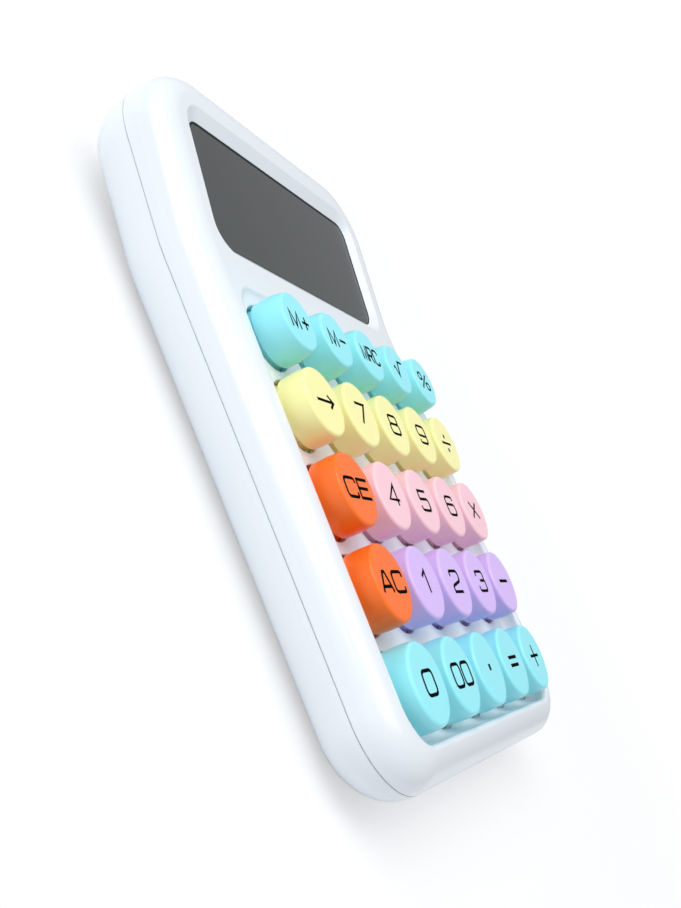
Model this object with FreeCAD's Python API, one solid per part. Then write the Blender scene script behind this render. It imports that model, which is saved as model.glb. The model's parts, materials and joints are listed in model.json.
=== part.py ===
import FreeCAD, Part
import math
import os
from FreeCAD import Vector

os.makedirs("parts", exist_ok=True)

# A desktop calculator with a wedge-shaped two-shell housing, a tinted display window in its raised
# rear part and 25 round keys in a sunken deck. All lengths are in millimetres, all angles in degrees.
# The frame: +Z up, the user at -Y, the display at +Y, the origin under the middle of the housing.

# Driving dimensions of the keys
columns = 5
rows = 5
column_pitch = 18.0
row_pitch = 18.05
function_row_pitch = 17.25
cap_top_radius = 7.42
cap_base_radius = 7.5
function_cap_top_radius = 6.5
function_cap_base_radius = 7.1
cap_proud = 6.9
function_cap_proud = 7.7
cap_edge_fillet = 0.7
cap_bulge = 0.2
function_cap_bulge = 0.45
cap_neck_height = 0.7
cap_neck_inset = 0.6
cap_wall = 1.0
cap_flange_width = 0.75
cap_flange_height = 0.8
stem_radius = 2.2
key_travel = 2.5

# Driving dimensions of the sunken deck and the rim around it
deck_slope = 4.8
deck_wall = 1.6
recess_at_crossbar = 0.75
side_margin = 1.4
front_margin = 1.6
rear_margin = 4.5
rim_width = 8.12
front_rim_width = 6.67
deck_corner_radius = 7.5
deck_draft = 4.0
deck_floor_fillet = 3.0
rim_inner_fillet = 1.0
hole_chamfer = 0.2

# Driving dimensions of the housing
foot_stand = 1.0
front_height = 16.1
rim_slope = 2.26
display_slope = 9.3
underside_slope = 6.5
parting_height = 9.85
parting_slope = 1.1
parting_rear_slope = 6.2
bend_radius = 60.0
front_plan_radius = 14.0
rear_plan_radius = 19.3
top_rounding = 6.7
bottom_rounding = 9.3
wall = 2.0
groove_width = 0.25
groove_depth = 0.3
lip_height = 1.2

# Driving dimensions of the display
crossbar_width = 8.0
bevel_front = 2.0
bevel_side = 2.4
bevel_rear = 3.5
bevel_depth = 1.5
bevel_fillet = 0.8
window_width = 81.8
window_length = 31.85
window_corner_radius = 4.5
window_thickness = 1.4
window_edge_chamfer = 0.2
window_frame_wall = 1.2
ledge_width = 2.0
ledge_thickness = 1.0
rear_rim_width = 11.4
lcd_overlap = 1.2
lcd_thickness = 2.4

# Driving dimensions of the inside
board_thickness = 1.2
board_margin = 3.0
mat_thickness = 0.6
mat_margin = 1.5
dome_base_radius = 5.2
dome_top_radius = 2.9
chip_radius = 6.0
chip_height = 1.1
ribbon_width = 50.0
ribbon_thickness = 0.3
ribbon_overlap = 3.5
pillar_radius = 2.4

# Driving dimensions of the screws and feet
screw_radius = 1.15
screw_length = 6.4
screw_head_radius = 2.5
screw_head_height = 1.5
screw_sink = 1.5
screw_seat = 1.5
cross_width = 0.7
cross_length = 2.8
cross_depth = 0.8
boss_radius = 4.3
post_radius = 2.6
rear_screw_x = 34.0
rear_screw_inset = 10.5
foot_radius = 4.0
foot_seat = 0.5
foot_edge_fillet = 0.3
foot_x = 38.0
front_foot_inset = 15.5
rear_foot_gap = 10.0

# Driving dimensions of the battery, a size AAA cell, and of its compartment
battery_length = 44.5
battery_radius = 5.25
battery_nub_radius = 1.9
battery_nub_length = 0.8
battery_edge_fillet = 0.4
contact_thickness = 0.5
contact_width = 8.0
spring_length = 3.5
spring_base_radius = 3.2
compartment_wall = 1.2
compartment_room = 0.5
cover_length = 23.0
cover_lip_height = 9.0
cover_rail_length = 12.0
cover_step = 3.0
tongue_height = 1.0
tongue_length = 6.0
tongue_root = 1.0
cover_travel = 11.5
grip_count = 5
grip_pitch = 2.4
grip_radius = 0.7
grip_depth = 0.4
grip_length = 22.0

# Clearances
cap_clearance = 0.3
flange_clearance = 0.3
stem_clearance = 0.1
press_clearance = 0.3
window_clearance = 0.12
screw_clearance = 0.05
head_clearance = 0.3
board_clearance = 0.4
foot_clearance = 0.1
cover_clearance = 0.25
tongue_clearance = 0.15
battery_clearance = 0.3
lip_clearance = 0.15


def height_on(point, slope, y):
    """Height at y of the sloped plane through a point."""
    return point.z + (y - point.y) * math.tan(math.radians(slope))


# Places in plan, counted from the front end of the housing to the rear end
keypad_length = (rows - 2) * row_pitch + function_row_pitch
deck_length = front_margin + cap_base_radius + keypad_length + function_cap_base_radius + rear_margin
window_run = (bevel_front + window_length + bevel_rear) * math.cos(math.radians(display_slope))
body_length = front_rim_width + deck_length + crossbar_width + window_run + rear_rim_width
deck_half_width = (columns - 1) / 2 * column_pitch + cap_base_radius + side_margin
half_width = deck_half_width + rim_width
half_length = body_length / 2
deck_front = front_rim_width - half_length
deck_rear = deck_front + deck_length
bend_y = deck_rear + crossbar_width + bevel_front
front_row_y = deck_front + front_margin + cap_base_radius
column_x = [(index - (columns - 1) / 2) * column_pitch for index in range(columns)]
row_y = [front_row_y + keypad_length]
for index in range(1, rows):
    row_y.append(front_row_y + (rows - 1 - index) * row_pitch)

# The three long runs of the side view. Each is bent once, near the front edge of the display, and is
# given by the point where its two straight stretches would meet.
rim_bend = Vector(0, bend_y, foot_stand + front_height)
rim_bend.z += (bend_y + half_length) * math.tan(math.radians(rim_slope))
parting_bend = Vector(0, bend_y, foot_stand + parting_height)
parting_bend.z += (bend_y + half_length) * math.tan(math.radians(parting_slope))
underside_bend = Vector(0, bend_y + wall, foot_stand)
reach = body_length
clear_above = 3 * (foot_stand + front_height)

# The rear end of the deck surface, about which the deck is tilted
deck_edge = Vector(0, deck_rear, height_on(rim_bend, rim_slope, deck_rear) - recess_at_crossbar)
deck_run = deck_length / math.cos(math.radians(deck_slope))

# The stack under the deck, as depths below its surface
flange_top = deck_wall + flange_clearance
flange_bottom = flange_top + cap_flange_height
mat_top = flange_bottom + key_travel + press_clearance
board_top = mat_top + mat_thickness
board_bottom = board_top + board_thickness

# Depths below the display surface
ledge_top = bevel_depth + window_thickness
ledge_bottom = ledge_top + ledge_thickness
lcd_bottom = ledge_bottom + lcd_thickness

# The battery compartment, along the sloped rear part of the underside and square to it
underside_run_length = (half_length - underside_bend.y) / math.cos(math.radians(underside_slope))
cover_front = underside_run_length - cover_length
cover_half_width = (battery_length + spring_length) / 2 + contact_thickness
compartment_front = cover_front - cover_clearance
battery_along = cover_front + compartment_room + battery_radius
battery_above = wall + battery_clearance + battery_radius
compartment_rear = battery_along + battery_radius + compartment_room
compartment_top = battery_above + battery_radius + compartment_room
channel_top = wall + tongue_height + 2 * tongue_clearance


def direction(slope):
    """Unit vector that rises by the slope towards the rear."""
    angle = math.radians(slope)
    return Vector(0, math.cos(angle), math.sin(angle))


def normal(slope):
    """Unit vector square to that direction, upwards."""
    angle = math.radians(slope)
    return Vector(0, -math.sin(angle), math.cos(angle))


def tilted(shape, origin, slope):
    """Turns a shape about X by the slope and moves it from the zero point to the origin."""
    shape.rotate(Vector(0, 0, 0), Vector(1, 0, 0), slope)
    shape.translate(origin)
    return shape


def on_deck(shape):
    return tilted(shape, deck_edge, deck_slope)


def on_display(shape):
    return tilted(shape, rim_bend, display_slope)


def on_underside(shape):
    return tilted(shape, underside_bend, underside_slope)


def deck_height(y):
    return height_on(deck_edge, deck_slope, y)


def underside_height(y):
    return max(foot_stand, height_on(underside_bend, underside_slope, y))


def rounded_rectangle(x_half, y_front, y_rear, front_radius, rear_radius, z):
    """Closed wire at height z, with one corner radius at the front and one at the rear."""
    diagonal = math.sqrt(0.5)
    corners = [
        (x_half, y_front, front_radius, 1, -1),
        (x_half, y_rear, rear_radius, 1, 1),
        (-x_half, y_rear, rear_radius, -1, 1),
        (-x_half, y_front, front_radius, -1, -1),
    ]
    arcs = []
    for x, y, radius, x_side, y_side in corners:
        centre = Vector(x - x_side * radius, y - y_side * radius, z)
        on_side = centre + Vector(x_side * radius, 0, 0)
        on_end = centre + Vector(0, y_side * radius, 0)
        middle = centre + Vector(x_side * radius * diagonal, y_side * radius * diagonal, 0)
        first, last = (on_end, on_side) if x_side * y_side < 0 else (on_side, on_end)
        arcs.append((first, middle, last))
    edges = []
    for index, (first, middle, last) in enumerate(arcs):
        edges.append(Part.Arc(first, middle, last).toShape())
        edges.append(Part.makeLine(last, arcs[(index + 1) % 4][0]))
    return Part.Wire(edges)


def prism(wire, height):
    """Solid raised from a closed wire along Z."""
    return Part.Face(wire).extrude(Vector(0, 0, height))


def block(x_half, y_front, y_rear, z_low, z_high, x_middle=0.0):
    """Box that is symmetric about x_middle."""
    corner = Vector(x_middle - x_half, y_front, z_low)
    return Part.makeBox(2 * x_half, y_rear - y_front, z_high - z_low, corner)


def upright(radius, x, y, z_low, z_high):
    """Upright cylinder."""
    return Part.makeCylinder(radius, z_high - z_low, Vector(x, y, z_low))


def curved_side(radius_low, low, radius_high, high, bulge):
    """Solid of revolution about Z between two circles, its outer side an arc that bulges out."""
    side = Vector(radius_high - radius_low, 0, high - low)
    outwards = Vector(side.z, 0, -side.x).normalize()
    first = Vector(radius_low, 0, low)
    last = Vector(radius_high, 0, high)
    edges = [
        Part.Arc(first, (first + last) / 2 + outwards * bulge, last).toShape(),
        Part.makeLine(last, Vector(0, 0, high)),
        Part.makeLine(Vector(0, 0, high), Vector(0, 0, low)),
        Part.makeLine(Vector(0, 0, low), first),
    ]
    return Part.Face(Part.Wire(edges)).revolve(Vector(0, 0, 0), Vector(0, 0, 1), 360)


def crossways(radius, x_low, x_high, y, z):
    """Cylinder along X."""
    return Part.makeCylinder(radius, x_high - x_low, Vector(x_low, y, z), Vector(1, 0, 0))


def turned(points):
    """Solid of revolution about Z from the (radius, height) corners of a closed outline."""
    vectors = [Vector(radius, 0, height) for radius, height in points]
    outline = Part.makePolygon(vectors + vectors[:1])
    return Part.Face(outline).revolve(Vector(0, 0, 0), Vector(0, 0, 1), 360)


def bent_run(bend, front_slope, rear_slope, lift):
    """Corner points of a run that is bent once and moved square to itself by the lift."""
    half_turn = math.radians(rear_slope - front_slope) / 2
    across = normal((front_slope + rear_slope) / 2)
    corner = bend + across * (lift / math.cos(half_turn))
    radius = bend_radius - lift
    tangent = radius * math.tan(half_turn)
    arc_start = corner - direction(front_slope) * tangent
    arc_end = corner + direction(rear_slope) * tangent
    arc_middle = corner + across * (radius / math.cos(half_turn) - radius)
    start = arc_start - direction(front_slope) * reach
    end = arc_end + direction(rear_slope) * reach
    return start, arc_start, arc_middle, arc_end, end


def rim_run(lift):
    return bent_run(rim_bend, rim_slope, display_slope, lift)


def parting_run(lift):
    return bent_run(parting_bend, parting_slope, parting_rear_slope, lift)


def underside_run(lift):
    return bent_run(underside_bend, 0.0, underside_slope, lift)


def between_runs(low, high):
    """Solid over the full width between two bent runs."""
    edges = [Part.makeLine(low[0], high[0]), Part.makeLine(low[-1], high[-1])]
    for start, arc_start, arc_middle, arc_end, end in (low, high):
        edges.append(Part.makeLine(start, arc_start))
        edges.append(Part.Arc(arc_start, arc_middle, arc_end).toShape())
        edges.append(Part.makeLine(arc_end, end))
    face = Part.Face(Part.Wire(Part.__sortEdges__(edges)))
    face.translate(Vector(-reach, 0, 0))
    return face.extrude(Vector(2 * reach, 0, 0))


def edge_middle(edge):
    return edge.valueAt((edge.FirstParameter + edge.LastParameter) / 2)


def rounded_along(body, run, radius):
    """Rounds the edges where a run of the side view meets the walls of the housing."""
    start, arc_start, arc_middle, arc_end, end = run
    chosen = []
    for edge in body.Edges:
        middle = edge_middle(edge)
        near, far = (start, arc_start) if middle.y < arc_middle.y else (arc_end, end)
        share = (middle.y - near.y) / (far.y - near.y)
        height = near.z + share * (far.z - near.z)
        crossing = abs(middle.x) < radius and abs(middle.y) < half_length - rear_plan_radius
        if abs(middle.z - height) < groove_width and not crossing:
            chosen.append(edge)
    return body.makeFillet(radius, chosen)


def housing_form(inset):
    """Form of the housing without the feet, moved inwards by the inset."""
    outline = rounded_rectangle(
        half_width - inset,
        inset - half_length,
        half_length - inset,
        front_plan_radius - inset,
        rear_plan_radius - inset,
        0.0,
    )
    low = underside_run(inset)
    high = rim_run(-inset)
    body = prism(outline, clear_above).common(between_runs(low, high)).Solids[0]
    body = rounded_along(body, high, top_rounding - inset)
    return rounded_along(body, low, bottom_rounding - inset)


def band_above_parting(height):
    return between_runs(parting_run(0.0), parting_run(height))


def deck_block(grow, z_low, z_high, draft):
    """Rounded block over the plan of the sunken deck, wider at its top by the draft."""
    widen = (z_high - z_low) * math.tan(math.radians(draft))
    wires = []
    for more, z in ((grow, z_low), (grow + widen, z_high)):
        corner = deck_corner_radius + more
        wires.append(rounded_rectangle(deck_half_width + more, -deck_run - more, more, corner, corner, z))
    return Part.makeLoft(wires, True, True)


def recess_tool():
    """What is taken out above the deck, with its lower edge rounded."""
    tool = deck_block(0.0, 0.0, clear_above, deck_draft)
    floor_edges = [edge for edge in tool.Edges if edge.BoundBox.ZMax < deck_floor_fillet]
    return on_deck(tool.makeFillet(deck_floor_fillet, floor_edges))


def key_places():
    """Row number, column number and place on the deck surface of each key."""
    places = []
    for row, y in enumerate(row_y):
        for column, x in enumerate(column_x):
            places.append((row, column, Vector(x, y, deck_height(y))))
    return places


def cap_radius(row):
    return function_cap_base_radius if row == 0 else cap_base_radius


def hole_tool(row):
    """Key hole through the deck with a small chamfer at its upper edge, open above the deck."""
    radius = cap_radius(row) + cap_clearance
    return turned([
        (0.0, -2 * deck_wall),
        (radius, -2 * deck_wall),
        (radius, -hole_chamfer),
        (radius + 2 * hole_chamfer, hole_chamfer),
        (radius + 2 * hole_chamfer, deck_floor_fillet),
        (0.0, deck_floor_fillet),
    ])


def window_outline(grow_front, grow_side, grow_rear, z):
    """Outline of the display window, grown by a margin on each side."""
    return rounded_rectangle(
        window_width / 2 + grow_side,
        -grow_front,
        window_length + grow_rear,
        window_corner_radius + (grow_front + grow_side) / 2,
        window_corner_radius + (grow_rear + grow_side) / 2,
        z,
    )


def even_window_block(grow, z_low, z_high):
    """Block over the plan of the window, grown alike on all sides."""
    return prism(window_outline(grow, grow, grow, z_low), z_high - z_low)


def window_tool():
    """Bevel, pocket and sight opening of the display window."""
    low = window_outline(0.0, 0.0, 0.0, -bevel_depth)
    high = window_outline(2 * bevel_front, 2 * bevel_side, 2 * bevel_rear, bevel_depth)
    bevel = Part.makeLoft([low, high], True, True)
    pocket = even_window_block(window_clearance, -ledge_top, -bevel_depth)
    sight = even_window_block(-ledge_width, -2 * ledge_bottom, 0.0)
    return on_display(bevel.fuse([pocket, sight]))


def screw_places():
    """Places of the four casing screws in plan."""
    front_x = column_pitch * (columns - 2) / 2
    front_y = (row_y[rows - 2] + row_y[rows - 1]) / 2
    rear_y = half_length - rear_screw_inset
    return [(-front_x, front_y), (front_x, front_y), (-rear_screw_x, rear_y), (rear_screw_x, rear_y)]


def seat_height(y):
    """Height of the seat that a screw head is pulled against."""
    return underside_height(y) + screw_sink + screw_head_height


def screw_posts(grow):
    """Posts of the upper casing that the screws run into."""
    shapes = []
    for x, y in screw_places():
        shapes.append(upright(post_radius + grow, x, y, seat_height(y) + screw_seat, clear_above))
    return shapes


def screw_holes(radius):
    """Holes for the shafts of the screws."""
    shapes = []
    for x, y in screw_places():
        low = seat_height(y) - screw_head_height
        shapes.append(upright(radius, x, y, low, seat_height(y) + screw_length + press_clearance))
    return shapes


def rounded_window_edge(casing):
    """Rounds the outer edge of the bevel around the window."""
    chosen = []
    for edge in casing.Edges:
        offset = edge_middle(edge) - rim_bend
        depth = offset.dot(normal(display_slope))
        along = offset.dot(direction(display_slope))
        beside = abs(offset.x) < window_width / 2 + 2 * bevel_side
        within = -2 * bevel_front < along < window_length + 2 * bevel_rear
        if beside and within and abs(depth) < bevel_depth / 2:
            chosen.append(edge)
    return casing.makeFillet(bevel_fillet, chosen)


def parting_groove():
    """Fine groove all round the outside where the two shells meet."""
    slab = between_runs(parting_run(-groove_width / 2), parting_run(groove_width / 2))
    return slab.cut(housing_form(groove_depth))


def lip_ring(inset, height):
    """Ring along the inner half of the wall, from the parting face upwards."""
    return housing_form(inset).cut(inner_form).common(band_above_parting(height))


def upper_casing():
    """Upper shell with the sunken deck, the key holes, the window frame and the screw posts."""
    deck_pan = on_deck(deck_block(deck_wall, -deck_wall, clear_above, 0.0))
    frame = on_display(even_window_block(window_clearance + window_frame_wall, -ledge_bottom, clear_above))
    cavity = inner_form.cut([deck_pan, frame] + screw_posts(0.0))
    rebate = lip_ring(wall / 2, lip_height + lip_clearance)
    casing = outer_form.cut([below_parting, cavity, recess_tool(), window_tool()])
    casing = rounded_rim_edge(rounded_window_edge(casing))
    casing = casing.fuse([post.common(below_parting) for post in screw_posts(0.0)]).removeSplitter()
    holes = [tilted(hole_tool(row), place, deck_slope) for row, column, place in key_places()]
    return casing.cut(holes + screw_holes(screw_radius + screw_clearance) + [rebate, groove])


def rounded_rim_edge(casing):
    """Rounds the inner edge of the rim around the sunken deck."""
    chosen = []
    for edge in casing.Edges:
        middle = edge_middle(edge)
        above = abs(middle.z - height_on(rim_bend, rim_slope, middle.y))
        beside = abs(middle.x) < deck_half_width + deck_wall / 2
        within = deck_front - deck_wall / 2 < middle.y < deck_rear + deck_wall / 2
        if beside and within and above < rim_inner_fillet / 2:
            chosen.append(edge)
    return casing.makeFillet(rim_inner_fillet, chosen)


def compartment():
    """Walls and roof around the battery, clear of the rails of the cover."""
    x_half = cover_half_width + compartment_wall
    y_front = compartment_front - compartment_wall
    y_rear = compartment_rear + compartment_wall
    outside = block(x_half, y_front, y_rear, wall / 2, compartment_top + compartment_wall)
    inside = block(cover_half_width, compartment_front, compartment_rear, -wall, compartment_top)
    channel = block(2 * x_half, compartment_front, underside_run_length, -wall, channel_top)
    return on_underside(outside.cut([inside, channel]))


def cover_form(inset):
    """Stepped outline of the cover along the underside, narrow in front and wide behind."""
    step = cover_front + cover_rail_length
    low = -bottom_rounding
    high = cover_lip_height - inset
    narrow = block(cover_half_width - inset, cover_front + inset, step + inset, low, high)
    wide = block(cover_half_width + cover_step - inset, step + inset, 2 * underside_run_length, low, high)
    return on_underside(narrow.fuse(wide).removeSplitter())


def board_pillars():
    """Pillars of the lower casing that the circuit board rests on."""
    lid = on_deck(block(half_width, -deck_run - wall, wall, -board_bottom, clear_above))
    places = [(x, y) for x in (column_x[0], column_x[-1]) for y in (row_y[0], row_y[-1])]
    return [upright(pillar_radius, x, y, foot_stand + wall / 2, clear_above).cut(lid) for x, y in places]


def foot_places():
    """Places of the four feet in plan, all under the level part of the underside."""
    y_values = (front_foot_inset - half_length, underside_bend.y - rear_foot_gap)
    return [(x, y) for y in y_values for x in (-foot_x, foot_x)]


def lower_casing():
    """Lower shell with the screw bosses, the pillars, the battery compartment and the lip."""
    inside = board_pillars() + [compartment()]
    taken = [groove] + screw_holes(screw_radius + screw_clearance)
    for x, y in screw_places():
        floor = underside_height(y) + wall / 2
        inside.append(upright(boss_radius, x, y, floor, seat_height(y) + screw_seat))
        taken.append(upright(screw_head_radius + head_clearance, x, y, 0.0, seat_height(y)))
    for x, y in foot_places():
        taken.append(upright(foot_radius + foot_clearance, x, y, 0.0, foot_stand + foot_seat))
    shell = housing_shell.common(below_parting).cut(cover_form(-cover_clearance))
    lip = lip_ring(wall / 2 + lip_clearance, lip_height)
    casing = shell.fuse([lip] + [piece.common(inner_form) for piece in inside])
    return casing.removeSplitter().cut(taken)


def battery_cover():
    """Sliding cover: a piece of the lower shell with two tongues and finger grooves."""
    cover = housing_shell.common(below_parting).common(cover_form(0.0))
    tongue_low = wall + tongue_clearance
    tongue_high = tongue_low + tongue_height
    tongue_front = cover_front + tongue_clearance
    tongue_rear = tongue_front + tongue_length
    tongue_reach = cover_half_width + cover_step - cover_clearance
    tongues = block(tongue_reach, tongue_front, tongue_rear, tongue_low, tongue_high)
    web = block(cover_half_width, tongue_front, tongue_rear, wall / 2, tongue_high)
    middle = block(cover_half_width - tongue_root, cover_front, underside_run_length, wall, 2 * tongue_high)
    cover = cover.fuse(on_underside(tongues.fuse(web).cut(middle)))
    grips = []
    for index in range(grip_count):
        y = cover_front + cover_rail_length + (index - grip_count / 2) * grip_pitch
        grips.append(crossways(grip_radius, -grip_length / 2, grip_length / 2, y, grip_depth - grip_radius))
    return cover.removeSplitter().cut([on_underside(grip) for grip in grips])


def display_window():
    """Tinted window plate in its pocket, with a fine chamfer round its face."""
    plate = even_window_block(0.0, -ledge_top, -bevel_depth)
    face_edges = [edge for edge in plate.Edges if edge.BoundBox.ZMin > -bevel_depth - window_edge_chamfer]
    return on_display(plate.makeChamfer(window_edge_chamfer, face_edges))


def lcd_panel():
    """Liquid crystal panel against the underside of the ledge."""
    return on_display(even_window_block(lcd_overlap - ledge_width, -lcd_bottom, -ledge_bottom))


def ribbon_cable():
    """Flat cable from the rear end of the circuit board to the underside of the panel."""
    board_end = deck_edge - normal(deck_slope) * board_top
    board_start = board_end - direction(deck_slope) * ribbon_overlap
    panel_start = rim_bend - normal(display_slope) * lcd_bottom
    panel_start += direction(display_slope) * (ledge_width - lcd_overlap)
    panel_end = panel_start + direction(display_slope) * ribbon_overlap
    up = normal(deck_slope) * ribbon_thickness
    down = normal(display_slope) * ribbon_thickness
    outline = Part.makePolygon([
        board_start,
        board_end,
        panel_start - down,
        panel_end - down,
        panel_end,
        panel_start,
        board_end + up,
        board_start + up,
        board_start,
    ])
    face = Part.Face(outline)
    face.translate(Vector(-ribbon_width / 2, 0, 0))
    return face.extrude(Vector(ribbon_width, 0, 0))


def sheet_under_deck(margin, rear_end, low, high):
    """Rounded sheet under the deck, between two depths, its rear end given along the deck."""
    corner = deck_corner_radius
    outline = rounded_rectangle(deck_half_width - margin, margin - deck_run, rear_end, corner, corner, -low)
    return on_deck(prism(outline, low - high))


def circuit_board():
    """Circuit board under the keys, with clearance holes for the screw posts."""
    board = sheet_under_deck(board_margin, 0.0, board_bottom, board_top)
    return board.cut(screw_posts(board_clearance))


def dome_mat():
    """Silicone sheet with one hollow dome under each key."""
    mat = sheet_under_deck(board_margin + mat_margin, -ribbon_overlap - mat_margin, board_top, mat_top)
    inner_radius = dome_base_radius - mat_thickness
    domes = []
    hollows = []
    for row, column, place in key_places():
        top = stem_end(row)
        dome = turned([
            (0.0, -board_top),
            (dome_base_radius, -board_top),
            (dome_base_radius, -mat_top),
            (dome_top_radius, top),
            (0.0, top),
        ])
        hollow = turned([
            (0.0, -board_top),
            (inner_radius, -board_top),
            (dome_top_radius - mat_thickness, top - 2 * mat_thickness),
            (0.0, top - 2 * mat_thickness),
        ])
        domes.append(tilted(dome, place, deck_slope))
        hollows.append(tilted(hollow, place, deck_slope))
    return mat.fuse(domes).cut(hollows + screw_posts(board_clearance))


def control_chip():
    """Round blob of black resin over the chip under the middle of the board."""
    blob = turned([
        (0.0, -board_bottom - chip_height),
        (chip_radius - chip_height, -board_bottom - chip_height),
        (chip_radius, -board_bottom),
        (0.0, -board_bottom),
    ])
    middle_row = rows // 2
    return tilted(blob, Vector(0, row_y[middle_row], deck_height(row_y[middle_row])), deck_slope)


def stem_end(row):
    """Height of the lower end of a key stem above the deck surface, at rest."""
    return -flange_bottom - stem_clearance


def key_cap(row):
    """Hollow key cap with a neck, a retaining flange and a stem, upright at the zero point."""
    top_radius = function_cap_top_radius if row == 0 else cap_top_radius
    base_radius = cap_radius(row)
    bulge = function_cap_bulge if row == 0 else cap_bulge
    proud = function_cap_proud if row == 0 else cap_proud
    neck_radius = base_radius - cap_neck_inset
    flange_radius = base_radius + cap_flange_width
    body = curved_side(base_radius, cap_neck_height, top_radius, proud, bulge)
    rim = [edge for edge in body.Edges if edge.BoundBox.ZMin > proud - cap_edge_fillet]
    body = body.makeFillet(cap_edge_fillet, rim)
    neck = turned([
        (0.0, -flange_bottom),
        (flange_radius, -flange_bottom),
        (flange_radius, -flange_top),
        (neck_radius, -flange_top),
        (neck_radius, cap_neck_height),
        (0.0, cap_neck_height),
    ])
    hollow = turned([
        (stem_radius, -2 * flange_bottom),
        (neck_radius - cap_wall, -2 * flange_bottom),
        (neck_radius - cap_wall, proud - cap_wall),
        (stem_radius, proud - cap_wall),
    ])
    return body.fuse(neck).cut(hollow).removeSplitter()


def casing_screw(x, y):
    """Pan-head screw with a cross recess, driven from below."""
    seat = seat_height(y)
    low = seat - screw_head_height
    head = upright(screw_head_radius, x, y, low, seat)
    shaft = upright(screw_radius, x, y, seat, seat + screw_length)
    screw = head.fuse(shaft).removeSplitter()
    slots = []
    for length, width in ((cross_length, cross_width), (cross_width, cross_length)):
        corner = Vector(x - length / 2, y - width / 2, low)
        slots.append(Part.makeBox(length, width, cross_depth, corner))
    return screw.cut(slots)


def rubber_foot(x, y):
    """Round rubber foot in its seat, with a rounded lower edge."""
    foot = upright(foot_radius, x, y, 0.0, foot_stand + foot_seat)
    lower_edges = [edge for edge in foot.Edges if edge.BoundBox.ZMax < foot_edge_fillet]
    return foot.makeFillet(foot_edge_fillet, lower_edges)


def battery():
    """Size AAA cell along X, its positive nub at the +X end."""
    negative_end = -cover_half_width + contact_thickness + spring_length
    shoulder = negative_end + battery_length - battery_nub_length
    can = crossways(battery_radius, negative_end, shoulder, battery_along, battery_above)
    end_edges = [edge for edge in can.Edges if edge.BoundBox.XLength < battery_edge_fillet]
    can = can.makeFillet(battery_edge_fillet, end_edges)
    tip = negative_end + battery_length
    nub = crossways(battery_nub_radius, shoulder, tip, battery_along, battery_above)
    return on_underside(can.fuse(nub).removeSplitter())


def contact_plate(x_low):
    """Flat contact on an end wall of the compartment."""
    low = battery_above - contact_width / 2
    corner = Vector(x_low, battery_along - contact_width / 2, low)
    return Part.makeBox(contact_thickness, contact_width, contact_width, corner)


def positive_contact():
    return on_underside(contact_plate(cover_half_width - contact_thickness))


def negative_contact():
    """Flat contact with its conical spring, drawn as a closed cone."""
    plate = contact_plate(-cover_half_width)
    cone = Part.makeCone(
        spring_base_radius,
        battery_nub_radius,
        spring_length,
        Vector(contact_thickness - cover_half_width, battery_along, battery_above),
        Vector(1, 0, 0),
    )
    return on_underside(plate.fuse(cone))


def write(name, shape):
    """Writes one piece and prints what it is made of."""
    shape.exportStep("parts/" + name + ".step")
    print(name, "solids", len(shape.Solids), "valid", shape.isValid(), "volume", round(shape.Volume, 1))


outer_form = housing_form(0.0)
inner_form = housing_form(wall)
housing_shell = outer_form.cut(inner_form)
below_parting = between_runs(underside_run(-2 * bottom_rounding), parting_run(0.0))
groove = parting_groove()

write("upper_casing", upper_casing())
write("lower_casing", lower_casing())
write("battery_cover", battery_cover())
write("display_window", display_window())
write("lcd_panel", lcd_panel())
write("ribbon_cable", ribbon_cable())
write("circuit_board", circuit_board())
write("dome_mat", dome_mat())
write("control_chip", control_chip())
write("battery", battery())
write("positive_contact", positive_contact())
write("negative_contact", negative_contact())
for number, (x, y) in enumerate(screw_places(), 1):
    write("casing_screw_" + str(number), casing_screw(x, y))
for number, (x, y) in enumerate(foot_places(), 1):
    write("rubber_foot_" + str(number), rubber_foot(x, y))
for row, column, place in key_places():
    write("key_cap_" + str(row + 1) + "_" + str(column + 1), tilted(key_cap(row), place, deck_slope))

print("width", round(2 * half_width, 2), "length", round(body_length, 2))
print("key travel", key_travel, "square to the deck at", deck_slope, "degrees")
print("cover travel", cover_travel, "along the underside at", underside_slope, "degrees")
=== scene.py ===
# %% [markdown]
# # A desktop calculator, dressed in Blender
#
# The calculator is a white wedge of two moulded shells. It carries a smoked display window and twenty-five
# round keys in five colours. Its solids come from CAD as a fixed frame, in metres, standing on its feet at
# the origin.

# %% Load the frame
import json
import math
import bpy
import numpy as np
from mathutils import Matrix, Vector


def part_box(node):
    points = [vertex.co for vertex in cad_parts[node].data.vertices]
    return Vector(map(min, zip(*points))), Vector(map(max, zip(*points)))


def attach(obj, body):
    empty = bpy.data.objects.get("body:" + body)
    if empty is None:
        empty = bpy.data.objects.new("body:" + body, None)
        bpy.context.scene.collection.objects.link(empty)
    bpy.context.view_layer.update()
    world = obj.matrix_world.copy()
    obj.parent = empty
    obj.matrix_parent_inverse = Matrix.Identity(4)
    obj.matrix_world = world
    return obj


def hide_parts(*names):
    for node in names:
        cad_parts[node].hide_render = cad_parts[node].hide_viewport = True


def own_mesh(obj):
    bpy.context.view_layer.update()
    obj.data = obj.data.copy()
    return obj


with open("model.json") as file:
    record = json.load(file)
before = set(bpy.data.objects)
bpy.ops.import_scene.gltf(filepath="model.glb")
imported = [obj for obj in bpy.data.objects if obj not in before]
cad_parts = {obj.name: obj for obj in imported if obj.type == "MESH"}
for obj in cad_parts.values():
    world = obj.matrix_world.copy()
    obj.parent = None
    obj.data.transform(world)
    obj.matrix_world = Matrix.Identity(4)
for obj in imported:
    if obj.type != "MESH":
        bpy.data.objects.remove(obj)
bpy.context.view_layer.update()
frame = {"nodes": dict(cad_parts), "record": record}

MM = 0.001

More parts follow.
